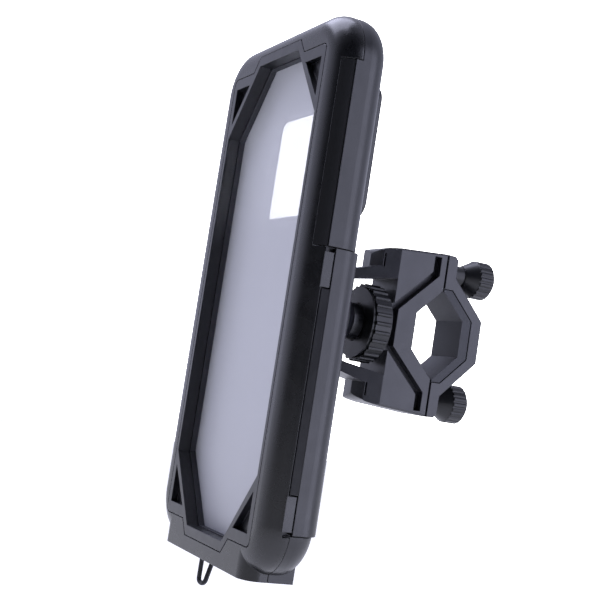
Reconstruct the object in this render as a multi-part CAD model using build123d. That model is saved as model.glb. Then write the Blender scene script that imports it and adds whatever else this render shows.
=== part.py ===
from build123d import *
import math
import os

# Handlebar mount with a hinged weatherproof case for a phone, in millimetres.
# The origin is the centre of the octagonal handlebar passage: X runs along the
# bar, -Y points at the rider (the front of the case) and Z runs up the case.

# Case, measured from its flat front face back to its flat rear face.
FRONT_Y = -79.0
SEAM_Y = FRONT_Y + 9.0
BACK_Y = FRONT_Y + 20.0
SEAM_GAP = 0.1
CASE_HALF_WIDTH = 50.0
CASE_HEIGHT = 192.0
CASE_MID_Z = 4.5
CASE_CORNER = 18.0
FRONT_ROUND = 8.5
BACK_ROUND = 8.0
WALL = 2.0

# Bezel insert and the window through it, about the insert's own centre.
INSERT_Z = 3.0
INSERT_HALF_WIDTH = 39.0
INSERT_HALF_HEIGHT = 85.0
INSERT_DEPTH = 4.6
SEAM_WIDTH = 0.35
TAB_ROOT = 21.5
TAB_TIP = 17.0
TAB_REACH = 90.5
WINDOW_SIDE = 37.3
WINDOW_SIDE_HEIGHT = 61.5
WINDOW_TOP_WIDTH = 16.5
WINDOW_TOP = 87.0
POCKET_HALF_WIDTH = 40.5
POCKET_HALF_HEIGHT = 91.0
FILM_Y = FRONT_Y + 7.05

# Phone space in the rear shell.
CAVITY_HALF_WIDTH = 42.0
CAVITY_HALF_HEIGHT = 88.0
FOOT_HALF_WIDTH = 38.5
FOOT_BOTTOM = -93.0
FOOT_BACK_Y = -60.5
FOOT_ROUND = 6.0

# Camera window, about the insert's centre.
CAMERA_LOW = 32.0
CAMERA_HIGH = 73.0
CAMERA_HALF_WIDTH = 37.5

# Side latch, hinged on the rear face and wrapped round the rear corner.
LATCH_LOW = INSERT_Z - 78.5
LATCH_HIGH = INSERT_Z + 15.8
LATCH_ARC = (42.3, FRONT_Y + 13.4)
LATCH_OUTER = 7.7
LATCH_INNER = 5.8
LATCH_AXIS = (35.5, FRONT_Y + 21.2)
LATCH_BARREL = 1.7
LATCH_KNUCKLES = (-66.0, -28.0, 9.0)
KEEPERS = ((-74.5, -63.0), (5.5, 17.2))
RUN_GAP = 0.35
STRIP_LOW = 19.0
GRIP_FRONT = FRONT_Y + 6.85

# Case hinge on the left edge of the seam.
HINGE_AXIS = (-50.6, SEAM_Y)
HINGE_BARREL = 2.6
HINGE_CENTRES = (INSERT_Z - 52.0, INSERT_Z + 52.0)

# Ball joint.
BALL_Y = -46.0
BALL_RADIUS = 12.5
NECK_RADIUS = 6.0
LINER_INNER = 12.6
LINER_OUTER = 13.4
SOCKET_SPHERE = 13.5
SOCKET_RADIUS = 17.5

# Thumb wheel behind the ball.
WHEEL_FRONT = -30.0
WHEEL_BACK = -23.1
WHEEL_RADIUS = 14.2
STUD_RADIUS = 4.0

# Clamp.
CLAMP_HALF_WIDTH = 9.6
BLOCK_FRONT = -20.9
LUG_FRONT = -28.6
LUG_ROUND = 3.2
ARM_HALF_WIDTH = 4.0
SPLIT = 0.4
CHANNEL_DEPTH = 3.6
CHANNEL_END = 29.7
BOLT_Z = 25.1
BOLT_RADIUS = 2.5
BORE_HALF_WIDTH = 10.5
BORE_SIDE_HEIGHT = 7.0
BORE_TOP_WIDTH = 0.7
BORE_TOP = 16.8
CAP_LUG_BACK = 5.1
CAP_BACK = 19.6
CAP_SEAT = 2.7
COLLAR_RADIUS = 4.0
KNOB_STARTS = (8.2, 12.6)
KNOB_RADIUS = 7.5

# Wrist loop under the foot.
CORD_RADIUS = 0.85
LOOP_BEND = 1.75
LOOP_POINTS = (
    (-9.5, -76.6, -90.4),
    (-3.0, -76.6, -90.4),
    (-3.2, -76.6, -101.8),
    (0.6, -75.8, -101.8),
    (-1.6, -72.2, -90.4),
    (4.9, -72.2, -90.4),
)

parts = {}


def along_x(sketch, half_width):
    """Solid of a Y-Z outline, half_width to either side of the middle."""
    return extrude(Plane.YZ * sketch, amount=half_width, both=True)


def along_y(sketch, y_front, y_back):
    """Solid of an X-Z outline between two depths."""
    return extrude(Plane.XZ.offset(-y_back) * sketch, amount=y_back - y_front)


def along_z(sketch, z_low, z_high):
    """Solid of an X-Y outline between two heights."""
    return extrude(Plane.XY.offset(z_low) * sketch, amount=z_high - z_low)


def outline(points):
    """Face bounded by straight lines through the points."""
    return make_face(Polyline(*points, close=True))


def oblong(a_low, a_high, b_low, b_high):
    """Plain rectangle given by its limits."""
    centre = Pos((a_low + a_high) / 2, (b_low + b_high) / 2)
    return centre * Rectangle(a_high - a_low, b_high - b_low)


def block(x_low, x_high, y_low, y_high, z_low, z_high):
    """Box given by its limits."""
    return along_z(oblong(x_low, x_high, y_low, y_high), z_low, z_high)


def rod_y(radius, y_front, y_back, x=0.0, z=0.0):
    """Round bar along Y."""
    return along_y(Pos(x, z) * Circle(radius), y_front, y_back)


def rod_z(radius, centre, z_low, z_high):
    """Round bar along Z."""
    return along_z(Pos(*centre) * Circle(radius), z_low, z_high)


def ball(radius):
    """Sphere about the joint centre."""
    return Pos(0, BALL_Y, 0) * Sphere(radius)


def octagon(side, side_height, top_width, top, z=0.0):
    """Eight sided outline with upright sides and sloping corners."""
    quarter = ((side, side_height), (top_width, top))
    right = list(quarter) + [(-a, b) for a, b in reversed(quarter)]
    left = [(-a, -b) for a, b in right]
    return Pos(0, z) * outline(right + left)


def case_outline():
    """Outer outline shared by the cover and the rear shell."""
    return Pos(0, CASE_MID_Z) * RectangleRounded(2 * CASE_HALF_WIDTH, CASE_HEIGHT, CASE_CORNER)


def insert_outline(grow=0.0):
    """Outline of the bezel insert: a tall rectangle with a tapered tab at each end."""
    body = RectangleRounded(2 * (INSERT_HALF_WIDTH + grow), 2 * (INSERT_HALF_HEIGHT + grow), 2.5)
    root = TAB_ROOT + grow
    tip = TAB_TIP + grow
    reach = TAB_REACH + grow
    edge = INSERT_HALF_HEIGHT + grow
    upper = [(root, edge), (tip, reach), (-tip, reach), (-root, edge)]
    lower = [(-a, -b) for a, b in upper]
    tabs = outline(upper + lower)
    return Pos(0, INSERT_Z) * (body + tabs)


def pocket_outline(shrink=0.0):
    """Rear pocket of the cover, which the film stack is loaded through."""
    width = 2 * (POCKET_HALF_WIDTH - shrink)
    height = 2 * (POCKET_HALF_HEIGHT - shrink)
    return Pos(0, INSERT_Z) * RectangleRounded(width, height, 10 - shrink)


def window():
    """Octagonal window of the insert."""
    return octagon(WINDOW_SIDE, WINDOW_SIDE_HEIGHT, WINDOW_TOP_WIDTH, WINDOW_TOP, INSERT_Z)


def loop_tube(radius):
    """Round section swept along the wrist loop."""
    path = FilletPolyline(*LOOP_POINTS, radius=LOOP_BEND)
    section = Plane(origin=path @ 0, z_dir=path % 0) * Circle(radius)
    return sweep(section, path=path)


# ---------------------------------------------------------------- front cover
hinge_hole = rod_z(1.05, HINGE_AXIS, -90, 95)
cover = along_y(case_outline(), FRONT_Y, SEAM_Y - SEAM_GAP)
cover = fillet(cover.edges().group_by(Axis.Y)[0], FRONT_ROUND)
foot = block(-FOOT_HALF_WIDTH, FOOT_HALF_WIDTH, FRONT_Y, SEAM_Y - SEAM_GAP, FOOT_BOTTOM, -83)
foot_corners = foot.edges().filter_by(Axis.Z).filter_by(lambda e: e.center().Y < FRONT_Y + 1)
cover += fillet(foot_corners, FOOT_ROUND)
cover -= along_y(insert_outline(SEAM_WIDTH), FRONT_Y - 1, FRONT_Y + 4.7)
cover -= along_y(pocket_outline(), FRONT_Y + 4.7, SEAM_Y + 1)
# Strip recess above the latch on the right side, and the step the rear shell comes forward into.
cover -= block(47.0, 51, FRONT_Y + 2.2, FRONT_Y + 6.4, STRIP_LOW - 0.4, INSERT_Z + 79)
cover -= block(45.2, 51, FRONT_Y + 6.3, SEAM_Y + 1, INSERT_Z - 79.3, INSERT_Z + 79.3)
for low, high in KEEPERS:
    cover += block(46.0, 49.9, FRONT_Y + 5.7, FRONT_Y + 6.3, low, high)
    cover += block(47.9, 49.9, FRONT_Y + 6.2, FRONT_Y + 9.3, low, high)
for centre in HINGE_CENTRES:
    for low, high in ((centre - 14.8, centre - 6.0), (centre + 6.0, centre + 14.8)):
        cover -= rod_z(HINGE_BARREL + 0.4, HINGE_AXIS, low, high)
    cover += rod_z(HINGE_BARREL, HINGE_AXIS, centre - 6, centre + 6)
    root = oblong(HINGE_AXIS[0], -47.5, SEAM_Y - HINGE_BARREL, SEAM_Y - SEAM_GAP)
    cover += along_z(root, centre - 6, centre + 6)
cover -= hinge_hole
cover -= loop_tube(CORD_RADIUS + 0.35)
parts["front_cover"] = cover

# ------------------------------------------------- insert, film and its frames
insert = along_y(insert_outline(), FRONT_Y, FRONT_Y + INSERT_DEPTH)
insert -= along_y(window(), FRONT_Y - 1, FRONT_Y + 6)
corner = outline([(36.3, 66.8), (36.3, 81), (24.0, 81)])
for side in (corner, mirror(corner, about=Plane.YZ)):
    for triangle in (side, mirror(side, about=Plane.XZ)):
        insert -= along_y(Pos(0, INSERT_Z) * triangle, FRONT_Y - 1, FRONT_Y + 2.6)
parts["bezel_insert"] = insert

film_frame = along_y(pocket_outline(0.25), FRONT_Y + 4.8, FILM_Y - 0.05)
film_frame -= along_y(octagon(37.0, 61.3, 16.4, 86.6, INSERT_Z), FRONT_Y, FRONT_Y + 9)
parts["film_frame"] = film_frame
parts["touch_film"] = along_y(pocket_outline(0.3), FILM_Y, FILM_Y + 0.3)
retainer = along_y(pocket_outline(0.25), FILM_Y + 0.35, FILM_Y + 1.25)
retainer -= along_y(Pos(0, INSERT_Z) * RectangleRounded(76, 175, 6), FRONT_Y, FRONT_Y + 10)
parts["film_retainer"] = retainer

strip = block(47.05, 51, FRONT_Y + 2.3, FRONT_Y + 6.45, STRIP_LOW, INSERT_Z + 78.8)
strip_skin = along_y(offset(case_outline(), -0.1), FRONT_Y, SEAM_Y)
strip_skin = fillet(strip_skin.edges().group_by(Axis.Y)[0], FRONT_ROUND - 0.1)
parts["side_strip"] = strip & strip_skin

# ------------------------------------------------------------------ rear shell
shell = along_y(case_outline(), SEAM_Y + SEAM_GAP, BACK_Y)
shell = fillet(shell.edges().group_by(Axis.Y)[-1], BACK_ROUND)
shell += block(-FOOT_HALF_WIDTH, FOOT_HALF_WIDTH, SEAM_Y + SEAM_GAP, FOOT_BACK_Y, FOOT_BOTTOM, -86)
tongue = along_y(case_outline(), FRONT_Y + 6.6, SEAM_Y + 1)
tongue = tongue & block(45.5, 51, FRONT_Y, SEAM_Y + 2, INSERT_Z - 79, INSERT_Z + 79)
shell += tongue
cavity = Pos(0, INSERT_Z) * RectangleRounded(2 * CAVITY_HALF_WIDTH, 2 * CAVITY_HALF_HEIGHT, 8)
shell -= along_y(cavity, FRONT_Y + 5, BACK_Y - WALL)
seal_outer = Pos(0, INSERT_Z) * RectangleRounded(88.8, 186.2, 13)
seal_inner = Pos(0, INSERT_Z) * RectangleRounded(85.6, 183.0, 11.4)
shell -= along_y(offset(seal_outer, 0.1) - offset(seal_inner, -0.1), SEAM_Y - 1, SEAM_Y + 1.6)
parts["lid_seal"] = along_y(seal_outer - seal_inner, SEAM_Y, SEAM_Y + 1.5)


def camera_frame(half_width, low, high, radius):
    """Rounded rectangle standing over the camera window."""
    middle = INSERT_Z + (low + high) / 2
    return Pos(0, middle) * RectangleRounded(2 * half_width, high - low, radius)


camera_hole = camera_frame(CAMERA_HALF_WIDTH, CAMERA_LOW, CAMERA_HIGH, 4)
shell -= along_y(camera_hole, BACK_Y - 5, BACK_Y + 5)

# Swivel seat for the ball stud's flange, inside the rear wall.
shell += rod_y(15.0, BACK_Y - 3.6, BACK_Y - 1)
shell -= rod_y(10.3, BACK_Y - 5, BACK_Y - 1.5)
shell -= rod_y(NECK_RADIUS + 0.3, BACK_Y - 5, BACK_Y + 1)
screw_angles = [math.pi * (0.25 + 0.5 * k) for k in range(4)]
screw_spots = [(12.7 * math.cos(angle), 12.7 * math.sin(angle)) for angle in screw_angles]
for x, z in screw_spots:
    shell -= rod_y(1.0, BACK_Y - 5, BACK_Y - 0.8, x, z)


def latch_section(grow):
    """X-Y section of the latch plate: side wall, rear corner and flange on the back."""
    x, y = LATCH_ARC
    outer = LATCH_OUTER + grow
    inner = LATCH_INNER - grow
    bend = (Circle(outer) - Circle(inner)) & oblong(0, 20, 0, 20)
    side = oblong(x + inner, x + outer, FRONT_Y + 9.7 - grow, y + 0.01)
    rear = oblong(36.4, x + 0.01, y + inner, y + outer)
    return side + Pos(x, y) * bend + rear


seat_low = LATCH_LOW - RUN_GAP
seat_high = LATCH_HIGH + RUN_GAP
shell -= along_z(latch_section(RUN_GAP), seat_low, seat_high)
shell -= block(47.45, 51, FRONT_Y + 5, FRONT_Y + 13, seat_low, seat_high)
shell -= rod_z(LATCH_BARREL + 0.5, LATCH_AXIS, seat_low, seat_high)
for middle in LATCH_KNUCKLES:
    shell += rod_z(LATCH_BARREL, LATCH_AXIS, middle - 4, middle + 4)
    shell += block(
        LATCH_AXIS[0] - LATCH_BARREL,
        LATCH_AXIS[0] + LATCH_BARREL,
        BACK_Y - 1.6,
        LATCH_AXIS[1],
        middle - 4,
        middle + 4,
    )
shell -= rod_z(0.85, LATCH_AXIS, seat_low - 12, seat_high + 0.5)
for centre in HINGE_CENTRES:
    shell -= rod_z(HINGE_BARREL + 0.4, HINGE_AXIS, centre - 6.4, centre + 6.4)
    for low, high in ((centre - 14.4, centre - 6.4), (centre + 6.4, centre + 14.4)):
        shell += rod_z(HINGE_BARREL, HINGE_AXIS, low, high)
        shell += block(HINGE_AXIS[0], -47.5, SEAM_Y + SEAM_GAP, SEAM_Y + HINGE_BARREL, low, high)
shell -= hinge_hole
parts["back_shell"] = shell

hinge_pins = [rod_z(1.0, HINGE_AXIS, centre - 14.4, centre + 14.4) for centre in HINGE_CENTRES]
parts["hinge_pins"] = Compound(hinge_pins)

# ------------------------------------------------------------------ side latch
latch = along_z(latch_section(0.0), LATCH_LOW, LATCH_HIGH)
grip = outline(
    [
        (LATCH_ARC[0] + LATCH_INNER, GRIP_FRONT),
        (49.3, GRIP_FRONT),
        (50.0, FRONT_Y + 10.3),
        (LATCH_ARC[0] + LATCH_INNER, FRONT_Y + 10.3),
    ]
)
latch += along_z(grip, KEEPERS[0][1] + 0.4, KEEPERS[1][0] - 0.4)
# The proud rear corner fades out towards both ends.
for end, inward in ((LATCH_LOW, 1), (LATCH_HIGH, -1)):
    full = end + 12 * inward
    wedge = outline([(BACK_Y + 0.1, end), (BACK_Y + 1.6, full), (BACK_Y + 4, full), (BACK_Y + 4, end)])
    latch -= along_x(wedge, 60) & block(37.6, 60, -70, -40, LATCH_LOW - 1, LATCH_HIGH + 1)
latch += rod_z(LATCH_BARREL, LATCH_AXIS, LATCH_LOW, LATCH_HIGH)
for middle in LATCH_KNUCKLES:
    latch -= block(30, 38.4, -62, -50, middle - 4.4, middle + 4.4)
latch -= rod_z(0.85, LATCH_AXIS, LATCH_LOW - 1, LATCH_HIGH + 1)
parts["side_latch"] = latch
parts["latch_pin"] = rod_z(0.8, LATCH_AXIS, LATCH_LOW, LATCH_HIGH)

# --------------------------------------------------------------- camera window
bezel = along_y(camera_frame(41.8, 29, 76, 6), BACK_Y, BACK_Y + 3.2)
bezel = fillet(bezel.edges().group_by(Axis.Y)[-1], 1.5)
bezel -= along_y(camera_hole, BACK_Y - 1, BACK_Y + 4)
bezel -= along_y(camera_frame(39.6, 30, 75, 5), BACK_Y - 1, BACK_Y + 1.0)
parts["camera_bezel"] = bezel
parts["camera_pane"] = along_y(camera_frame(39.4, 30.2, 74.8, 4.8), BACK_Y + 0.05, BACK_Y + 0.95)

# ---------------------------------------------------------------- phone cradle
foam_outline = Pos(0, INSERT_Z) * RectangleRounded(83.2, 175.2, 7.6)
foam = along_y(foam_outline, BACK_Y - WALL - 2.5, BACK_Y - WALL)
foam -= along_y(camera_frame(38.5, 31, 74, 4), BACK_Y - 9, BACK_Y)
foam -= rod_y(15.6, BACK_Y - 9, BACK_Y)
parts["phone_pad"] = foam
cushion = block(38.6, 41.8, BACK_Y - 10.4, BACK_Y - 4.7, INSERT_Z - 60, INSERT_Z + 60)
parts["side_cushions"] = Compound([cushion, mirror(cushion, about=Plane.YZ)])

# ------------------------------------------------------------------ ball joint
stud = ball(BALL_RADIUS)
stud += rod_y(NECK_RADIUS, BACK_Y - 2.5, BALL_Y - 8)
stud += rod_y(10.0, BACK_Y - 3.3, BACK_Y - 1.7)
parts["ball_stud"] = stud

swivel_cap = rod_y(15.0, BACK_Y - 5.0, BACK_Y - 3.7)
screws = []
for x, z in screw_spots:
    head = rod_y(1.8, BACK_Y - 5.0, BACK_Y - 4.1, x, z)
    shank = rod_y(0.95, BACK_Y - 4.1, BACK_Y - 0.9, x, z)
    swivel_cap -= rod_y(1.9, BACK_Y - 6, BACK_Y - 4.05, x, z)
    swivel_cap -= rod_y(1.0, BACK_Y - 6, BACK_Y, x, z)
    screws.append(head + shank)
parts["swivel_cap"] = swivel_cap
parts["swivel_screws"] = Compound(screws)

liner = (ball(LINER_OUTER) - ball(LINER_INNER)) & block(-20, 20, BALL_Y - 6, BALL_Y + 6, -20, 20)
parts["ball_liner"] = liner

# ----------------------------------------------------------------- front clamp
side_profile = []
for sign in (1, -1):
    half = [
        (-SPLIT, 31.5),
        (-4.0, 31.2),
        (BLOCK_FRONT, 30.0),
        (LUG_FRONT, 28.8),
        (LUG_FRONT, 21.9),
        (-44.0, 17.4),
        (-44.0, 11.2),
        (-42.7, 13.0),
        (-40.6, 14.6),
        (-35.0, 15.9),
        (BLOCK_FRONT, 18.3),
    ]
    side_profile += half if sign > 0 else [(y, -z) for y, z in reversed(half)]
side_face = outline(side_profile)
lug_corners = side_face.vertices().filter_by(lambda v: v.X < LUG_FRONT + 0.1 and abs(v.Y) > 28)
clamp = along_x(fillet(lug_corners, LUG_ROUND), CLAMP_HALF_WIDTH)
flank = [
    (CLAMP_HALF_WIDTH, 0),
    (CLAMP_HALF_WIDTH, BLOCK_FRONT),
    (ARM_HALF_WIDTH, -42.0),
    (ARM_HALF_WIDTH, -45.0),
]
plan = outline(flank + [(-x, y) for x, y in reversed(flank)])
clamp = clamp & along_z(plan, -40, 40)
# The front of each lug is a blunt prow, with a shadow groove behind its rim.
nose = outline([(-8, -30), (-8, LUG_FRONT + 1.2), (0, LUG_FRONT), (8, LUG_FRONT + 1.2), (8, -30)])
for low, high in ((-40, -21.9), (21.9, 40)):
    clamp -= along_z(nose, low, high)
rims = clamp.edges().filter_by(lambda e: abs(e.center().Z) > 28 and abs(e.center().X) > 9.5)
clamp = chamfer(rims, 0.7)
clamp += rod_y(SOCKET_RADIUS, BALL_Y - 6.5, BALL_Y + 2.5) - ball(SOCKET_SPHERE)
clamp -= ball(SOCKET_SPHERE)
bore = octagon(BORE_HALF_WIDTH, BORE_SIDE_HEIGHT, BORE_TOP_WIDTH, BORE_TOP)
clamp -= along_x(bore, 20)

# Channel round the octagonal body on both faces.
outer_half = [(5, CHANNEL_END), (-5.9, CHANNEL_END), (-5.9, 23.6), (-21.6, 8.3)]
inner_half = [(5, CHANNEL_END), (-2.9, CHANNEL_END), (-2.9, 22.4), (-18.7, 7.0)]
outer_face = outline(outer_half + [(y, -z) for y, z in reversed(outer_half)])
inner_face = outline(inner_half + [(y, -z) for y, z in reversed(inner_half)])
channel = along_x(outer_face - inner_face, 20)
clamp -= channel - along_x(Rectangle(200, 200), CLAMP_HALF_WIDTH - CHANNEL_DEPTH)
for low, high in ((-27.0, -21.9), (21.9, 27.0)):
    for x in (-9.6, 7.0):
        clamp -= block(x, x + 2.6, LUG_FRONT + 1.5, LUG_FRONT + 2.1, low, high)
for z in (-BOLT_Z, BOLT_Z):
    clamp -= rod_y(BOLT_RADIUS + 0.25, -26.0, 1, 0, z)
    clamp -= rod_y(3.55, -12.1, 1, 0, z)
clamp -= rod_y(STUD_RADIUS + 0.02, BLOCK_FRONT - 1, -15)
lining = octagon(BORE_HALF_WIDTH + 1.4, BORE_SIDE_HEIGHT + 0.6, BORE_TOP_WIDTH + 0.6, BORE_TOP + 1.4)
front_half = oblong(-30, -0.6, -30, 30)
clamp -= along_x(lining & front_half, 8.05)
parts["clamp_front"] = clamp
parts["liner_front"] = along_x((offset(lining, -0.05) - bore) & front_half, 8.0)

parts["insert_nuts"] = Compound(
    [rod_y(3.5, -12, -4, 0, z) - rod_y(BOLT_RADIUS + 0.05, -13, 0, 0, z) for z in (-BOLT_Z, BOLT_Z)]
)

# ------------------------------------------------------ thumb wheel, pad, stud
wheel = rod_y(WHEEL_RADIUS, WHEEL_FRONT, WHEEL_BACK)
wheel += rod_y(WHEEL_RADIUS - 0.6, WHEEL_FRONT - 1, WHEEL_FRONT)
for k in range(26):
    angle = 2 * math.pi * k / 26
    x = WHEEL_RADIUS * math.cos(angle)
    wheel += rod_y(0.75, WHEEL_FRONT, WHEEL_BACK - 0.6, x, WHEEL_RADIUS * math.sin(angle))
wheel -= rod_y(7.4, WHEEL_FRONT - 2, WHEEL_FRONT - 0.2)
wheel -= rod_y(STUD_RADIUS + 0.05, -40, 0)
parts["thumb_wheel"] = wheel
parts["wheel_stud"] = rod_y(STUD_RADIUS, WHEEL_FRONT - 1.2, -15)
parts["pressure_pad"] = rod_y(7.0, -37.2, WHEEL_FRONT - 1.3) - ball(LINER_INNER)

# ------------------------------------------------------------------ rear clamp
cap_profile = []
for sign in (1, -1):
    half = [
        (SPLIT, 31.5),
        (3.7, 31.3),
        (CAP_LUG_BACK, 29.9),
        (CAP_LUG_BACK, 23.0),
        (18.2, 9.7),
        (CAP_BACK, 8.2),
    ]
    cap_profile += half if sign > 0 else [(y, -z) for y, z in reversed(half)]
cap = along_x(outline(cap_profile), CLAMP_HALF_WIDTH)
cap = fillet(cap.edges().filter_by(Axis.X).filter_by(lambda e: e.center().Y > 4), 1.2)
outer_rims = cap.edges().filter_by(lambda e: abs(e.center().X) > 9.5 and e.center().Y > SPLIT + 0.1)
cap = fillet(outer_rims, 0.7)
pad_profile = [(SPLIT, 17.8), (4.0, 17.8), (14.4, 7.4)]
pad_outline = outline(pad_profile + [(y, -z) for y, z in reversed(pad_profile)])
cap -= along_x(offset(pad_outline, 0.3, kind=Kind.INTERSECTION), 20)
for z in (-BOLT_Z, BOLT_Z):
    cap -= rod_y(BOLT_RADIUS + 0.2, -1, 10, 0, z)
    cap -= rod_y(COLLAR_RADIUS + 0.4, CAP_SEAT, CAP_LUG_BACK + 1, 0, z)
    cap -= rod_y(5.0, CAP_LUG_BACK, CAP_LUG_BACK + 6, 0, z)
parts["rear_cap"] = cap
parts["liner_rear"] = along_x(pad_outline - bore, CLAMP_HALF_WIDTH - 0.2)
washers = []
for z in (-BOLT_Z, BOLT_Z):
    washer = rod_y(COLLAR_RADIUS + 0.2, CAP_SEAT + 0.05, CAP_SEAT + 0.45, 0, z)
    washers.append(washer - rod_y(BOLT_RADIUS + 0.1, 0, 10, 0, z))
parts["screw_washers"] = Compound(washers)


def thumb_screw(z, start):
    """Ribbed head with a smooth collar, and the steel shank held inside it."""
    profile = outline(
        [
            (0.0, start - 5.0),
            (COLLAR_RADIUS, start - 5.0),
            (COLLAR_RADIUS, start),
            (4.4, start),
            (7.1, start + 5.0),
            (KNOB_RADIUS, start + 5.4),
            (KNOB_RADIUS, start + 11.2),
            (KNOB_RADIUS - 1.6, start + 12.5),
            (0.0, start + 12.5),
        ]
    )
    head = Pos(0, 0, z) * revolve(Plane.XY * profile, Axis.Y)
    for k in range(22):
        angle = 2 * math.pi * (k + 0.5) / 22
        reach = KNOB_RADIUS + 0.35
        x = reach * math.cos(angle)
        head -= rod_y(0.7, start + 5.2, start + 13, x, z + reach * math.sin(angle))
    head -= rod_y(BOLT_RADIUS, 0, start + 6, 0, z)
    shank = rod_y(BOLT_RADIUS, start - 33.4, start + 6, 0, z)
    return head, shank


for name, z, start in (("lower", -BOLT_Z, KNOB_STARTS[0]), ("upper", BOLT_Z, KNOB_STARTS[1])):
    parts["knob_" + name], parts["shank_" + name] = thumb_screw(z, start)

# ------------------------------------------------------------------ wrist loop
parts["wrist_loop"] = loop_tube(CORD_RADIUS)
loop_length = FilletPolyline(*LOOP_POINTS, radius=LOOP_BEND).length
print("wrist loop length", round(loop_length, 2), "bend radius", LOOP_BEND)

os.makedirs("parts", exist_ok=True)
for name, shape in parts.items():
    export_step(shape, "parts/" + name + ".step")
    size = shape.bounding_box().size
    print(name, [round(v, 1) for v in size])
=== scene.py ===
"""Looks of a weatherproof phone case on a ball joint and a handlebar clamp.

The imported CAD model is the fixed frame. Its hard parts keep their own meshes and
get finishes worked out from what they are moulded, turned or plated from. The soft
parts, foam, gasket and cord, are modelled here as closed surfaces.
"""

import logging
import math
from dataclasses import dataclass, field
from enum import Enum
from typing import Any

import bmesh
import bpy
import numpy as np
from mathutils import Matrix, Vector


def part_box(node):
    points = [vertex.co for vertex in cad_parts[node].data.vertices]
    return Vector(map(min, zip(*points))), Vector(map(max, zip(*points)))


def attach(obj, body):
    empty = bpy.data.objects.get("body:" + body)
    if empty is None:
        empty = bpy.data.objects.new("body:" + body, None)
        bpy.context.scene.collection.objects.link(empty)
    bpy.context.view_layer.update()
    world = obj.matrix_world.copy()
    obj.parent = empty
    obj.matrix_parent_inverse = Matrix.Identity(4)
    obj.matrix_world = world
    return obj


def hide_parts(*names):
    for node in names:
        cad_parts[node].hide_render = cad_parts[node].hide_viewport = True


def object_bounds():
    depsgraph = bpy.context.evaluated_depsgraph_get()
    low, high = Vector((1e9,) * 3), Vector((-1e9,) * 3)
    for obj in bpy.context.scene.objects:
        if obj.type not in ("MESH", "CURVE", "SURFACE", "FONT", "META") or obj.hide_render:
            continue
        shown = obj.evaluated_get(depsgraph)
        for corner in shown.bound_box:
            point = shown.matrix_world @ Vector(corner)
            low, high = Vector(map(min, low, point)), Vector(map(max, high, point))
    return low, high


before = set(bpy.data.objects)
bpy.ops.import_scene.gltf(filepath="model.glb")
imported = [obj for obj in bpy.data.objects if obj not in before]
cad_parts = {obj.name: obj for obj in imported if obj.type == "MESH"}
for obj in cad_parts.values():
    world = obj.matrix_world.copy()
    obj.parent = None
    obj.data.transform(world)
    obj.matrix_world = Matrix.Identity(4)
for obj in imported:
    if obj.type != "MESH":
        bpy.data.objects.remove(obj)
cad_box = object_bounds()

log = logging.getLogger("phone_mount")
MM = 0.001


class Body(Enum):
    """Moving bodies of the mount."""

    CLAMP = "clamp"
    CASE = "case"
    COVER = "cover"


class Weave(Enum):
    """Surface patterns a soft finish can have."""

    CELLS = "cells"
    MATT = "matt"
    BRAID = "braid"


def linear(hex_colour: str) -> tuple[float, float, float, float]:
    """Turns an sRGB hex colour into linear light.

    Args:
        hex_colour: six hex digits, with or without a leading hash.

    Returns:
        Red, green, blue and an alpha of one.
    """
    digits = hex_colour.lstrip("#")
    levels = np.array([int(digits[i : i + 2], 16) for i in (0, 2, 4)]) / 255.0
    light = np.where(levels <= 0.04045, levels / 12.92, ((levels + 0.055) / 1.055) ** 2.4)
    return (float(light[0]), float(light[1]), float(light[2]), 1.0)


def per_metre(size_mm: float) -> float:
    """Pattern scale that gives a feature of this size in millimetres."""
    return 1000.0 / size_mm


def add_node(
    tree: bpy.types.NodeTree,
    kind: str,
    settings: dict[Any, Any] | None = None,
    links: dict[Any, bpy.types.NodeSocket] | None = None,
) -> bpy.types.Node:
    """Adds one node with its settings and links.

    Args:
        tree: node tree that gets the node.
        kind: Blender's name for the kind of node.
        settings: values by input name or index, or by property name.
        links: output sockets by the input name or index that they feed.

    Returns:
        The new node.
    """
    node = tree.nodes.new(kind)
    for key, value in (settings or {}).items():
        if isinstance(key, str) and hasattr(node, key) and key not in node.inputs:
            setattr(node, key, value)
        else:
            node.inputs[key].default_value = value
    for key, socket in (links or {}).items():
        tree.links.new(socket, node.inputs[key])
    return node


def new_material(name: str) -> tuple[bpy.types.Material, bpy.types.NodeTree, bpy.types.Node]:
    """Starts an empty node material.

    Args:
        name: what the real material is and how it was made.

    Returns:
        The material, its tree and its output node.
    """
    material = bpy.data.materials.new(name)
    material.use_nodes = True
    tree = material.node_tree
    tree.nodes.clear()
    return material, tree, add_node(tree, "ShaderNodeOutputMaterial")


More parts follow.
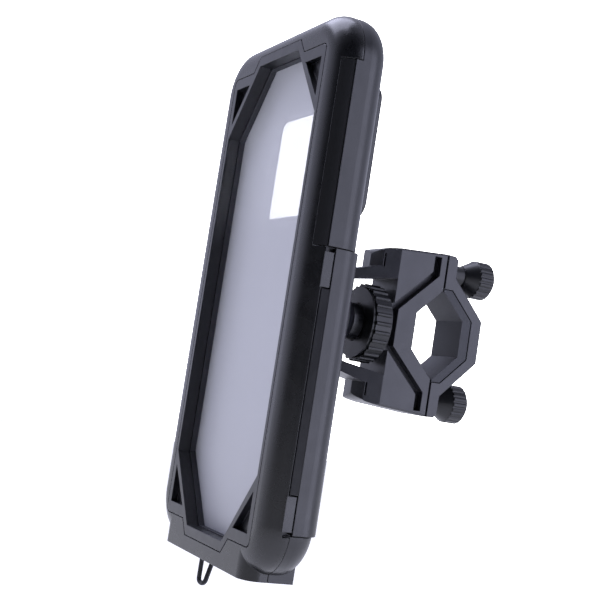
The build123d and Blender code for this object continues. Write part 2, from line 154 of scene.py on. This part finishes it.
@dataclass(frozen=True)
class MouldedPlastic:
    """Injection moulded plastic: dark resin, spark-eroded grain, edges rounded in the shading normal and
    painted paler as a highlight.

    The tool's grain breaks the light into a soft satin sheen, flow marks shift the
    shade a little over tens of millimetres, and the edges get a painted highlight, a
    paler colour, with a slightly lower roughness.
    """

    name: str
    colour: str
    pale: str
    roughness: float = 0.34
    grain_mm: float = 0.55
    grain_depth_mm: float = 0.012
    flow_mm: float = 28.0
    edge_mm: float = 0.35
    specular: float = 0.45

    def build(self) -> bpy.types.Material:
        """Makes the node material."""
        material, tree, output = new_material(self.name)
        place = add_node(tree, "ShaderNodeTexCoord").outputs["Object"]
        flow = add_node(
            tree,
            "ShaderNodeTexNoise",
            {"Scale": per_metre(self.flow_mm), "Detail": 3.0, "Roughness": 0.6},
            {"Vector": place},
        ).outputs["Fac"]
        grain = add_node(
            tree,
            "ShaderNodeTexNoise",
            {"Scale": per_metre(self.grain_mm), "Detail": 2.0, "Roughness": 0.55},
            {"Vector": place},
        ).outputs["Fac"]
        wear = add_node(
            tree,
            "ShaderNodeTexNoise",
            {"Scale": per_metre(6.5), "Detail": 5.0, "Distortion": 0.6},
            {"Vector": place},
        ).outputs["Fac"]
        rounded = add_node(tree, "ShaderNodeBevel", {"samples": 4, "Radius": self.edge_mm * MM})
        flat = add_node(tree, "ShaderNodeNewGeometry").outputs["Normal"]
        turn = add_node(
            tree,
            "ShaderNodeVectorMath",
            {"operation": "DOT_PRODUCT"},
            {0: rounded.outputs["Normal"], 1: flat},
        ).outputs["Value"]
        # Edge mask from the bevel normal: it paints a highlight, a paler colour along the edges, and
        # lowers the roughness there.
        edge = add_node(
            tree,
            "ShaderNodeMapRange",
            {"From Min": 0.995, "From Max": 0.85, "To Min": 0.0, "To Max": 1.0},
            {"Value": turn},
        ).outputs["Result"]
        shade = add_node(
            tree,
            "ShaderNodeMapRange",
            {"From Min": 0.3, "From Max": 0.75, "To Min": 0.0, "To Max": 0.55},
            {"Value": flow},
        ).outputs["Result"]
        # Mix factor towards the pale colour: the painted edge highlight plus the random flow tone.
        flow_tone_and_edge_highlight = add_node(
            tree, "ShaderNodeMath", {"operation": "MULTIPLY_ADD", 1: 0.45}, {0: edge, 2: shade}
        ).outputs["Value"]
        colour = add_node(
            tree,
            "ShaderNodeMix",
            {"data_type": "RGBA", 6: linear(self.colour), 7: linear(self.pale)},
            {0: flow_tone_and_edge_highlight},
        ).outputs[2]
        satin = add_node(
            tree,
            "ShaderNodeMapRange",
            {
                "From Min": 0.3,
                "From Max": 0.7,
                "To Min": self.roughness - 0.035,
                "To Max": self.roughness + 0.035,
            },
            {"Value": wear},
        ).outputs["Result"]
        rough = add_node(
            tree, "ShaderNodeMath", {"operation": "MULTIPLY_ADD", 1: -0.06}, {0: edge, 2: satin}
        ).outputs["Value"]
        bump = add_node(
            tree,
            "ShaderNodeBump",
            {"Strength": 0.35, "Distance": self.grain_depth_mm * MM},
            {"Height": grain, "Normal": rounded.outputs["Normal"]},
        ).outputs["Normal"]
        shader = add_node(
            tree,
            "ShaderNodeBsdfPrincipled",
            {"IOR": 1.5, "Specular IOR Level": self.specular},
            {"Base Color": colour, "Roughness": rough, "Normal": bump},
        )
        tree.links.new(shader.outputs["BSDF"], output.inputs["Surface"])
        return material


@dataclass(frozen=True)
class ClearSheet:
    """Clear plastic sheet: it mirrors the room at a slant, and a matt coat veils it.

    clear is the share of light that passes through the resin, and veil is how much
    of what lies behind each face the coat hides. Rubbing leaves faint smears that
    change how sharp the reflection is.
    """

    name: str
    colour: str
    roughness: float
    clear: float
    ior: float = 1.5
    smear_mm: float = 34.0
    veil: float = 1.0

    def build(self) -> bpy.types.Material:
        """Makes the node material."""
        material, tree, output = new_material(self.name)
        place = add_node(tree, "ShaderNodeTexCoord").outputs["Object"]
        smear = add_node(
            tree,
            "ShaderNodeTexNoise",
            {"Scale": per_metre(self.smear_mm), "Detail": 4.0, "Distortion": 0.8},
            {"Vector": place},
        ).outputs["Fac"]
        rough = add_node(
            tree,
            "ShaderNodeMapRange",
            {
                "From Min": 0.35,
                "From Max": 0.7,
                "To Min": self.roughness,
                "To Max": self.roughness + 0.03,
            },
            {"Value": smear},
        ).outputs["Result"]
        ripple = add_node(
            tree,
            "ShaderNodeTexNoise",
            {"Scale": per_metre(90.0), "Detail": 1.0},
            {"Vector": place},
        ).outputs["Fac"]
        bump = add_node(
            tree,
            "ShaderNodeBump",
            {"Strength": 0.12, "Distance": 0.25 * MM},
            {"Height": ripple},
        ).outputs["Normal"]
        shader = add_node(
            tree,
            "ShaderNodeBsdfPrincipled",
            {
                "Base Color": linear(self.colour),
                "IOR": self.ior,
                "Transmission Weight": self.clear,
                "Alpha": self.veil,
            },
            {"Roughness": rough, "Normal": bump},
        )
        tree.links.new(shader.outputs["BSDF"], output.inputs["Surface"])
        return material


@dataclass(frozen=True)
class TurnedMetal:
    """Turned and plated metal: bright, with fine tool rings and a cloudy passivate."""

    name: str
    colour: str
    pale: str
    roughness: float
    ring_mm: float = 0.3

    def build(self) -> bpy.types.Material:
        """Makes the node material."""
        material, tree, output = new_material(self.name)
        place = add_node(tree, "ShaderNodeTexCoord").outputs["Object"]
        cloud = add_node(
            tree,
            "ShaderNodeTexNoise",
            {"Scale": per_metre(3.0), "Detail": 4.0},
            {"Vector": place},
        ).outputs["Fac"]
        rings = add_node(
            tree,
            "ShaderNodeTexNoise",
            {"Scale": per_metre(self.ring_mm), "Detail": 1.0},
            {
                "Vector": add_node(
                    tree, "ShaderNodeMapping", {"Scale": (0.05, 1.0, 0.05)}, {"Vector": place}
                ).outputs["Vector"]
            },
        ).outputs["Fac"]
        colour = add_node(
            tree,
            "ShaderNodeMix",
            {"data_type": "RGBA", 6: linear(self.colour), 7: linear(self.pale)},
            {0: cloud},
        ).outputs[2]
        rough = add_node(
            tree,
            "ShaderNodeMapRange",
            {"To Min": self.roughness - 0.06, "To Max": self.roughness + 0.08},
            {"Value": cloud},
        ).outputs["Result"]
        bump = add_node(
            tree,
            "ShaderNodeBump",
            {"Strength": 0.3, "Distance": 0.01 * MM},
            {"Height": rings},
        ).outputs["Normal"]
        shader = add_node(
            tree,
            "ShaderNodeBsdfPrincipled",
            {"Metallic": 1.0},
            {"Base Color": colour, "Roughness": rough, "Normal": bump},
        )
        tree.links.new(shader.outputs["BSDF"], output.inputs["Surface"])
        return material


@dataclass(frozen=True)
class SoftFinish:
    """Foam, rubber or cord: matt and dark, with cells, bloom or a braid that catches light."""

    name: str
    colour: str
    pale: str
    roughness: float
    weave: Weave
    pitch_mm: float
    depth_mm: float
    sheen: float = 0.0

    def build(self) -> bpy.types.Material:
        """Makes the node material."""
        material, tree, output = new_material(self.name)
        place = add_node(tree, "ShaderNodeTexCoord").outputs["Object"]
        if self.weave is Weave.CELLS:
            height = add_node(
                tree,
                "ShaderNodeTexVoronoi",
                {"feature": "SMOOTH_F1", "Scale": per_metre(self.pitch_mm), "Smoothness": 0.6},
                {"Vector": place},
            ).outputs["Distance"]
        elif self.weave is Weave.BRAID:
            slant = add_node(
                tree,
                "ShaderNodeMapping",
                {"Rotation": (0.0, math.radians(45.0), math.radians(30.0))},
                {"Vector": place},
            ).outputs["Vector"]
            height = add_node(
                tree,
                "ShaderNodeTexBrick",
                {
                    "offset": 0.5,
                    "Scale": per_metre(self.pitch_mm),
                    "Mortar Size": 0.12,
                    "Mortar Smooth": 1.0,
                    "Color1": (1.0, 1.0, 1.0, 1.0),
                    "Color2": (0.8, 0.8, 0.8, 1.0),
                },
                {"Vector": slant},
            ).outputs["Color"]
        else:
            height = add_node(
                tree,
                "ShaderNodeTexNoise",
                {"Scale": per_metre(self.pitch_mm), "Detail": 3.0},
                {"Vector": place},
            ).outputs["Fac"]
        bloom = add_node(
            tree,
            "ShaderNodeTexNoise",
            {"Scale": per_metre(14.0), "Detail": 3.0},
            {"Vector": place},
        ).outputs["Fac"]
        colour = add_node(
            tree,
            "ShaderNodeMix",
            {"data_type": "RGBA", 6: linear(self.colour), 7: linear(self.pale)},
            {0: bloom},
        ).outputs[2]
        rough = add_node(
            tree,
            "ShaderNodeMapRange",
            {"To Min": self.roughness - 0.08, "To Max": min(1.0, self.roughness + 0.06)},
            {"Value": bloom},
        ).outputs["Result"]
        bump = add_node(
            tree,
            "ShaderNodeBump",
            {"Strength": 0.6, "Distance": self.depth_mm * MM},
            {"Height": height},
        ).outputs["Normal"]
        shader = add_node(
            tree,
            "ShaderNodeBsdfPrincipled",
            {"Sheen Weight": self.sheen, "Sheen Roughness": 0.4, "Specular IOR Level": 0.35},
            {"Base Color": colour, "Roughness": rough, "Normal": bump},
        )
        tree.links.new(shader.outputs["BSDF"], output.inputs["Surface"])
        return material


# Acrylonitrile butadiene styrene, moulded in a spark-eroded tool: satin, nearly black.
COVER_ABS = MouldedPlastic(
    "ABS case cover, moulded satin black", "#0A0B0D", "#101114", roughness=0.28
)
SHELL_ABS = MouldedPlastic(
    "ABS rear shell, moulded satin black", "#101114", "#17181C", roughness=0.36, flow_mm=34.0
)
INSERT_ABS = MouldedPlastic(
    "ABS bezel insert, moulded fine satin", "#101115", "#17181D", roughness=0.34, grain_mm=0.45
)
INNER_ABS = MouldedPlastic(
    "ABS inner frame, moulded matt black", "#0F1012", "#17181B", roughness=0.55, edge_mm=0.2
)
# Thermoplastic polyurethane: the same black with a drier, greyer skin.
FRAME_TPU = MouldedPlastic(
    "TPU film frame, moulded soft grey", "#25262B", "#303138", roughness=0.6, edge_mm=0.2
)
STRIP_TPU = MouldedPlastic(
    "TPU grip strip, moulded matt black",
    "#0B0C0E",
    "#121316",
    roughness=0.6,
    edge_mm=0.15,
    specular=0.2,
)
# Glass-filled nylon 6: fibres near the skin mottle the sheen over a few millimetres.
CLAMP_NYLON = MouldedPlastic(
    "Glass-filled nylon clamp, moulded black",
    "#18191E",
    "#22232A",
    roughness=0.37,
    grain_mm=0.7,
    grain_depth_mm=0.02,
    flow_mm=9.0,
)
WHEEL_NYLON = MouldedPlastic(
    "Glass-filled nylon wheel, moulded black",
    "#0B0C0E",
    "#121316",
    roughness=0.38,
    specular=0.35,
    grain_mm=0.6,
    flow_mm=12.0,
    edge_mm=0.25,
)
BALL_NYLON = MouldedPlastic(
    "Nylon ball, moulded and tumbled", "#101115", "#17181D", roughness=0.33, flow_mm=15.0
)
PAD_ACETAL = MouldedPlastic(
    "Acetal bearing, machined smooth", "#131417", "#1B1C20", roughness=0.3, grain_depth_mm=0.004
)
# PET film whose matt coat scatters part of the light, and a polycarbonate pane.
TOUCH_FILM = ClearSheet("PET touch film, matt coated", "#CFD0D5", 0.3, 0.0, ior=1.5, veil=0.55)
CAMERA_PANE = ClearSheet("Polycarbonate pane, extruded clear", "#FAFBFD", 0.0, 1.0, ior=1.5)
BLACK_STEEL = TurnedMetal("Steel, turned and black oxidised", "#16171A", "#222327", 0.45)
ZINC_STEEL = TurnedMetal("Steel, turned and zinc plated", "#9EA1A6", "#B4B7BB", 0.34)
PIN_STEEL = TurnedMetal("Stainless steel, centreless ground", "#A9AAAC", "#BDBEBF", 0.22)
NUT_BRASS = TurnedMetal("Brass, turned", "#B58E45", "#CBA65C", 0.3)
PAD_FOAM = SoftFinish(
    "EVA foam, skived sheet", "#101113", "#191A1D", 0.92, Weave.CELLS, 0.7, 0.12, sheen=0.15
)
SEAL_SILICONE = SoftFinish("Silicone rubber, moulded", "#121214", "#1A1A1D", 0.62, Weave.MATT, 1.2, 0.02)
LINER_RUBBER = SoftFinish("Nitrile rubber, moulded", "#2C2D31", "#3A3B40", 0.66, Weave.MATT, 0.8, 0.03)
LOOP_CORD = SoftFinish(
    "Polyester cord, braided", "#111216", "#1C1D23", 0.7, Weave.BRAID, 0.45, 0.08, sheen=0.3
)


def dress(finish: MouldedPlastic | ClearSheet | TurnedMetal | SoftFinish, *nodes: str) -> None:
    """Gives CAD nodes one finish.

    Args:
        finish: what the parts are made of.
        nodes: names of the CAD nodes.
    """
    material = finish.build()
    for name in nodes:
        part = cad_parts[name]
        part.data.materials.clear()
        part.data.materials.append(material)
        log.info("%s: %s", name, finish.name)


def rounded_loop(half_width: float, half_height: float, radius: float, steps: int) -> np.ndarray:
    """Closed outline of a rounded rectangle in X and Z.

    Each quarter is the corner circle's centre plus the radius along an angle that
    runs over a right angle, so the straight sides join one corner to the next.

    Args:
        half_width: half the size along X.
        half_height: half the size along Z.
        radius: corner radius.
        steps: points in each corner.

    Returns:
        Points of the outline, one row each.
    """
    quarter = np.repeat(np.arange(4), steps)
    angle = np.tile(np.linspace(0.0, math.pi / 2, steps), 4) + quarter * math.pi / 2
    side_x = np.where((quarter == 0) | (quarter == 3), 1.0, -1.0)
    side_z = np.where(quarter < 2, 1.0, -1.0)
    x = side_x * (half_width - radius) + radius * np.cos(angle)
    z = side_z * (half_height - radius) + radius * np.sin(angle)
    return np.stack([x, z], axis=1)


def pillow_section(count: int, power: float) -> np.ndarray:
    """Closed cross-section of a pad, a superellipse inside the unit square.

    Each coordinate is a half plus half the signed cosine or sine raised to two over
    the power, so a high power is nearly square with soft corners.

    Args:
        count: points round the section.
        power: how square the section is; two is a circle.

    Returns:
        Points of the section, one row each.
    """
    angle = np.linspace(0.0, 2 * math.pi, count, endpoint=False)
    wave = np.stack([np.cos(angle), np.sin(angle)], axis=1)
    return 0.5 + 0.5 * np.sign(wave) * np.abs(wave) ** (2.0 / power)


def closed_surface(name: str, grid: np.ndarray, ends: bool) -> bpy.types.Object:
    """Makes a closed mesh from a grid of points.

    The second parameter always wraps round. The first wraps round too, or its two
    ends are closed by fans to their middles. Faces are turned outwards by the sign
    of the enclosed volume.

    Args:
        name: name of the piece.
        grid: points, as first parameter by second parameter by three.
        ends: whether the first parameter has two closed ends.

    Returns:
        The new object, at the origin.
    """
    rows, columns = grid.shape[:2]
    count = rows - 1 if ends else rows
    i, j = np.meshgrid(np.arange(count), np.arange(columns), indexing="ij")
    after_i, after_j = (i + 1) % rows, (j + 1) % columns
    corners = [i * columns + j, i * columns + after_j, after_i * columns + after_j, after_i * columns + j]
    quads = np.stack([c.ravel() for c in corners], axis=1)
    points = grid.reshape(-1, 3)
    faces = quads.tolist()
    if ends:
        ring = np.arange(columns)
        last = (rows - 1) * columns
        points = np.vstack([points, grid[0].mean(axis=0), grid[-1].mean(axis=0)])
        head, tail = rows * columns, rows * columns + 1
        first_fan = np.stack([np.full(columns, head), (ring + 1) % columns, ring], axis=1)
        last_fan = np.stack([np.full(columns, tail), last + ring, last + (ring + 1) % columns], axis=1)
        faces += first_fan.tolist() + last_fan.tolist()
    mesh = bpy.data.meshes.new(name)
    mesh.from_pydata(points.tolist(), [], faces)
    work = bmesh.new()
    work.from_mesh(mesh)
    bmesh.ops.remove_doubles(work, verts=work.verts, dist=1e-6)
    bmesh.ops.recalc_face_normals(work, faces=work.faces)
    if work.calc_volume(signed=True) < 0:
        bmesh.ops.reverse_faces(work, faces=work.faces)
    work.to_mesh(mesh)
    work.free()
    mesh.shade_smooth()
    piece = bpy.data.objects.new(name, mesh)
    bpy.context.scene.collection.objects.link(piece)
    return piece


def ring_pad(
    name: str, inner: np.ndarray, outer: np.ndarray, depths: tuple[float, float], power: float
) -> bpy.types.Object:
    """Makes a flat ring of foam or rubber between two outlines.

    A point is the inner outline moved towards the outer one by the section's first
    coordinate, at a depth given by its second, so the section is carried round.

    Args:
        name: name of the piece.
        inner: points of the hole's outline in X and Z, in metres.
        outer: as many points of the outer outline.
        depths: Y of the front and the back.
        power: how square the section is.

    Returns:
        The new object.
    """
    section = pillow_section(36, power)
    across, through = section[None, :, 0], section[None, :, 1]
    x = inner[:, None, 0] * (1 - across) + outer[:, None, 0] * across
    z = inner[:, None, 1] * (1 - across) + outer[:, None, 1] * across
    y = np.broadcast_to(depths[0] + (depths[1] - depths[0]) * through, x.shape)
    return closed_surface(name, np.stack([x, y, z], axis=2), ends=False)


def place_soft(piece: bpy.types.Object, finish: SoftFinish, body: Body, slot: str, *nodes: str) -> None:
    """Dresses a soft piece and lets it stand for CAD nodes on a body."""
    piece.data.materials.append(finish.build())
    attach(piece, body.value)
    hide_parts(*nodes)
    log.info("%s stands for %s", piece.name, ", ".join(nodes))


@dataclass
class CaseCover:
    """Front cover with its bezel insert, film stack and grip strip."""

    film: str = "touch_film"

    def build(self) -> None:
        """Dresses the cover's parts."""
        dress(COVER_ABS, "front_cover")
        dress(INSERT_ABS, "bezel_insert")
        dress(FRAME_TPU, "film_frame")
        dress(INNER_ABS, "film_retainer")
        dress(STRIP_TPU, "side_strip")
        dress(TOUCH_FILM, self.film)


@dataclass
class WristLoop:
    """Short braided loop that hangs under the foot of the cover, in metres."""

    length: float = 0.0368
    diameter: float = 0.0017
    points: tuple[tuple[float, float, float], ...] = (
        (-0.0095, -0.0766, -0.0904),
        (-0.0068, -0.0766, -0.0904),
        (-0.0030, -0.0766, -0.0904),
        (-0.0031, -0.0766, -0.0942),
        (-0.0031, -0.0766, -0.0980),
        (-0.0032, -0.0766, -0.1018),
        (0.0006, -0.0758, -0.1018),
        (-0.0001, -0.0747, -0.0982),
        (-0.0009, -0.0733, -0.0940),
        (-0.0016, -0.0722, -0.0904),
        (0.0022, -0.0722, -0.0904),
        (0.0049, -0.0722, -0.0904),
    )

    def build(self) -> None:
        curve = bpy.data.curves.new("loop_cord", "CURVE")
        curve.dimensions = "3D"
        curve.bevel_depth = self.diameter / 2
        curve.bevel_resolution = 6
        curve.resolution_u = 16
        curve.use_fill_caps = True
        spline = curve.splines.new("NURBS")
        spline.points.add(len(self.points) - 1)
        for point, place in zip(spline.points, self.points):
            point.co = (*place, 1.0)
        spline.order_u = 3
        spline.use_endpoint_u = True
        loop = bpy.data.objects.new("loop_cord", curve)
        bpy.context.scene.collection.objects.link(loop)
        place_soft(loop, LOOP_CORD, Body.COVER, "cord", "wrist_loop")


@dataclass
class RearShell:
    """Rear shell with its camera window, lid gasket, pins and side latch."""

    seal_width: float = 0.0016
    seal_corner: float = 0.013

    def build(self) -> None:
        """Dresses the shell's parts and models the gasket."""
        dress(SHELL_ABS, "back_shell")
        dress(INSERT_ABS, "side_latch", "camera_bezel")
        dress(CAMERA_PANE, "camera_pane")
        dress(PIN_STEEL, "hinge_pins", "latch_pin")
        dress(INNER_ABS, "swivel_cap")
        dress(BLACK_STEEL, "swivel_screws")
        self.gasket()

    def gasket(self) -> None:
        """Models the lid gasket as a domed ring in its groove."""
        low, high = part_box("lid_seal")
        middle = (low + high) / 2
        half = (high - low) / 2
        outer = rounded_loop(half.x, half.z, self.seal_corner, 14)
        inner = rounded_loop(
            half.x - self.seal_width, half.z - self.seal_width, self.seal_corner - self.seal_width, 14
        )
        centre = np.array([middle.x, middle.z])
        seal = ring_pad("gasket", inner + centre, outer + centre, (low.y, high.y), 3.0)
        place_soft(seal, SEAL_SILICONE, Body.CASE, "silicone", "lid_seal")


@dataclass
class PhoneCradle:
    """Foam behind and beside the phone."""

    corner: float = 0.0076
    split_z: float = 0.0322
    split_gap: float = 0.0003
    swivel_radius: float = 0.0157
    cushion_thick: float = 0.0032
    window: tuple[float, float, float, float] = (0.0386, 0.0339, 0.0771, 0.004)
    material: SoftFinish = field(default=PAD_FOAM)

    def build(self) -> None:
        """Models the back pad in two rings and the two side cushions."""
        low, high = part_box("phone_pad")
        depths = (low.y, high.y)
        half_width = (high.x - low.x) / 2
        lower = self.panel(half_width, low.z, self.split_z - self.split_gap)
        hole = rounded_loop(self.swivel_radius, self.swivel_radius, self.swivel_radius, 18)
        self.add(ring_pad("pad_lower", hole, lower, depths, 9.0), "phone_pad", 0.7)
        half_x, bottom, top, radius = self.window
        upper = self.panel(half_width, self.split_z, high.z)
        opening = rounded_loop(half_x, (top - bottom) / 2, radius, 18)
        opening = opening + np.array([0.0, (top + bottom) / 2])
        self.add(ring_pad("pad_upper", opening, upper, depths, 5.0), "phone_pad", 0.7)
        low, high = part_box("side_cushions")
        for name, start in (("cushion_left", low.x), ("cushion_right", high.x - self.cushion_thick)):
            bar = self.cushion(name, (start, start + self.cushion_thick), (low.y, high.y), (low.z, high.z))
            self.add(bar, "side_cushions", 0.8)

    def panel(self, half_width: float, bottom: float, top: float) -> np.ndarray:
        """Outline of a foam panel between two heights."""
        loop = rounded_loop(half_width, (top - bottom) / 2, self.corner, 18)
        return loop + np.array([0.0, (top + bottom) / 2])

    def cushion(
        self,
        name: str,
        x: tuple[float, float],
        y: tuple[float, float],
        z: tuple[float, float],
    ) -> bpy.types.Object:
        """Makes a crowned bar of foam.

        The soft square section is carried along Z and shrinks at both ends as the
        twelfth root of one less the twelfth power of the way along, so it closes.

        Args:
            name: name of the piece.
            x: limits along X.
            y: limits along Y.
            z: limits along Z.

        Returns:
            The new object.
        """
        section = pillow_section(32, 4.0) - 0.5
        way = np.sin(np.linspace(-math.pi / 2, math.pi / 2, 60)) * 0.9995
        swell = (1 - np.abs(way) ** 12) ** (1 / 12)
        px = (x[0] + x[1]) / 2 + np.outer(swell, section[:, 0]) * (x[1] - x[0])
        py = (y[0] + y[1]) / 2 + np.outer(swell, section[:, 1]) * (y[1] - y[0])
        height = (z[0] + z[1]) / 2 + way * (z[1] - z[0]) / 2
        pz = np.broadcast_to(height[:, None], px.shape)
        return closed_surface(name, np.stack([px, py, pz], axis=2), ends=True)

    def add(self, piece: bpy.types.Object, node: str, fill: float) -> None:
        place_soft(piece, self.material, Body.CASE, "foam", node)


@dataclass
class BallJoint:
    """Ball stud, its liner and the ribbed lock wheel behind them."""

    def build(self) -> None:
        """Dresses the joint's parts."""
        dress(BALL_NYLON, "ball_stud")
        dress(PAD_ACETAL, "ball_liner", "pressure_pad")
        dress(WHEEL_NYLON, "thumb_wheel")
        dress(ZINC_STEEL, "wheel_stud")


@dataclass
class BarClamp:
    """Split clamp with rubber liners, nuts and two thumb screws."""

    def build(self) -> None:
        """Dresses the clamp's parts."""
        dress(CLAMP_NYLON, "clamp_front", "rear_cap")
        dress(LINER_RUBBER, "liner_front", "liner_rear")
        dress(WHEEL_NYLON, "knob_lower", "knob_upper")
        dress(ZINC_STEEL, "shank_lower", "shank_upper", "screw_washers")
        dress(NUT_BRASS, "insert_nuts")


@dataclass
class Softbox:
    """Rectangular studio light facing the middle of the object."""

    name: str
    azimuth: float
    elevation: float
    distance: float
    width: float
    height: float
    power: float

    def build(self, target: Vector, tint: str) -> None:
        """Adds the light, aimed at the target."""
        data = bpy.data.lights.new(self.name, "AREA")
        data.shape = "RECTANGLE"
        data.size = self.width
        data.size_y = self.height
        data.energy = self.power
        data.color = linear(tint)[:3]
        light = bpy.data.objects.new(self.name, data)
        outward = direction(self.azimuth, self.elevation)
        light.location = target + outward * self.distance
        light.rotation_euler = (-outward).to_track_quat("-Z", "Y").to_euler()
        light.visible_camera = False
        bpy.context.scene.collection.objects.link(light)


def direction(azimuth: float, elevation: float) -> Vector:
    """Unit vector from the object towards a place round it, in degrees."""
    a, e = math.radians(azimuth), math.radians(elevation)
    return Vector((math.sin(a) * math.cos(e), -math.cos(a) * math.cos(e), math.sin(e)))


@dataclass
class Studio:
    """Pale floor, white tent, softboxes and the camera.

    The tent is bright behind the object and nearly dark on the camera's side, so
    faces that mirror the camera stay deep black.
    """

    azimuth: float = 64.2
    elevation: float = -4.4
    roll: float = 8.83
    stand: tuple[float, float, float] = (0.3908, -0.2443, -0.0293)
    lens: float = 70.6
    floor_z: float = -0.42
    floor_reach: float = 6.0
    floor_glow: float = 0.6
    lit_level: float = 1.45
    dim_level: float = 0.03
    backdrop: float = 3.8
    tint: str = "#E3E5FF"
    boxes: tuple[Softbox, ...] = (
        Softbox("right_softbox", 126.0, 6.0, 1.3, 0.85, 1.7, 17.0),
        Softbox("top_softbox", 300.0, 62.0, 1.5, 1.2, 1.2, 22.0),
    )

    def build(self) -> None:
        """Makes the floor, tent, lights and camera."""
        self.floor()
        self.tent()
        low, high = cad_box
        for box in self.boxes:
            box.build((low + high) / 2, self.tint)
        self.camera()

    def floor(self) -> None:
        """Makes the floor, a flat square of grid points."""
        reach = np.linspace(-self.floor_reach, self.floor_reach, 5)
        x, y = np.meshgrid(reach, reach)
        points = np.stack([x, y, np.full_like(x, self.floor_z)], axis=2).reshape(-1, 3)
        i, j = np.meshgrid(np.arange(4), np.arange(4), indexing="ij")
        corner = (i * 5 + j).ravel()
        faces = np.stack([corner, corner + 1, corner + 6, corner + 5], axis=1)
        mesh = bpy.data.meshes.new("floor")
        mesh.from_pydata(points.tolist(), [], faces.tolist())
        floor = bpy.data.objects.new("floor", mesh)
        material, tree, output = new_material("Painted board, rolled matt white")
        place = add_node(tree, "ShaderNodeTexCoord").outputs["Object"]
        mottle = add_node(
            tree, "ShaderNodeTexNoise", {"Scale": 3.0, "Detail": 2.0}, {"Vector": place}
        ).outputs["Fac"]
        colour = add_node(
            tree,
            "ShaderNodeMix",
            {"data_type": "RGBA", 6: linear("#F4F4F5"), 7: linear("#F8F8F8")},
            {0: mottle},
        ).outputs[2]
        shader = add_node(
            tree,
            "ShaderNodeBsdfPrincipled",
            {"Roughness": 0.9, "Emission Color": linear("#FFFFFF"), "Emission Strength": self.floor_glow},
            {"Base Color": colour},
        )
        tree.links.new(shader.outputs["BSDF"], output.inputs["Surface"])
        mesh.materials.append(material)
        bpy.context.scene.collection.objects.link(floor)

    def tent(self) -> None:
        """Makes the white tent, open and dim on one side, as the world's light."""
        world = bpy.data.worlds.new("tent")
        bpy.context.scene.world = world
        world.use_nodes = True
        tree = world.node_tree
        tree.nodes.clear()
        output = add_node(tree, "ShaderNodeOutputWorld")
        around = add_node(tree, "ShaderNodeTexCoord").outputs["Generated"]
        facing = add_node(
            tree,
            "ShaderNodeVectorMath",
            {"operation": "DOT_PRODUCT", 1: tuple(direction(self.azimuth, 0.0))},
            {0: around},
        ).outputs["Value"]
        side = add_node(
            tree,
            "ShaderNodeMapRange",
            {
                "interpolation_type": "SMOOTHSTEP",
                "From Min": -0.15,
                "From Max": 0.62,
                "To Min": self.lit_level,
                "To Max": self.dim_level,
            },
            {"Value": facing},
        ).outputs["Result"]
        height = add_node(tree, "ShaderNodeSeparateXYZ", {}, {0: around}).outputs["Z"]
        fall = add_node(
            tree,
            "ShaderNodeMapRange",
            {"From Min": -0.15, "From Max": 0.45, "To Min": 1.2, "To Max": 0.6},
            {"Value": height},
        ).outputs["Result"]
        level = add_node(
            tree, "ShaderNodeMath", {"operation": "MULTIPLY"}, {0: side, 1: fall}
        ).outputs["Value"]
        lit = add_node(
            tree, "ShaderNodeBackground", {"Color": linear(self.tint)}, {"Strength": level}
        ).outputs["Background"]
        seen = add_node(
            tree, "ShaderNodeBackground", {"Color": linear("#FFFFFF"), "Strength": self.backdrop}
        ).outputs["Background"]
        path = add_node(tree, "ShaderNodeLightPath")
        direct = add_node(
            tree,
            "ShaderNodeMath",
            {"operation": "MAXIMUM"},
            {0: path.outputs["Is Camera Ray"], 1: path.outputs["Is Transmission Ray"]},
        ).outputs["Value"]
        mix = add_node(tree, "ShaderNodeMixShader", {}, {0: direct, 1: lit, 2: seen})
        tree.links.new(mix.outputs["Shader"], output.inputs["Surface"])
        bpy.context.scene.view_settings.view_transform = "Standard"

    def camera(self) -> None:
        """Makes the camera, rolled about its own line of sight."""
        back = direction(self.azimuth, self.elevation)
        a, r = math.radians(self.azimuth), math.radians(self.roll)
        right = Vector((math.cos(a), math.sin(a), 0.0))
        up = back.cross(right)
        turned_right = right * math.cos(r) + up * math.sin(r)
        turned_up = up * math.cos(r) - right * math.sin(r)
        axes = Matrix((turned_right, turned_up, back)).transposed().to_4x4()
        data = bpy.data.cameras.new("camera")
        data.lens = self.lens
        data.sensor_width = 36.0
        data.clip_start = 0.01
        camera = bpy.data.objects.new("camera", data)
        camera.matrix_world = Matrix.Translation(self.stand) @ axes
        bpy.context.scene.collection.objects.link(camera)
        bpy.context.scene.camera = camera


def main() -> None:
    """Builds the studio and the sub-assemblies in order."""
    logging.basicConfig(level=logging.INFO, format="%(name)s %(message)s")
    Studio().build()
    WristLoop().build()
    for part in (CaseCover(), RearShell(), PhoneCradle(), BallJoint(), BarClamp()):
        log.info("building %s", type(part).__name__)
        part.build()


if __name__ == "__main__":
    main()
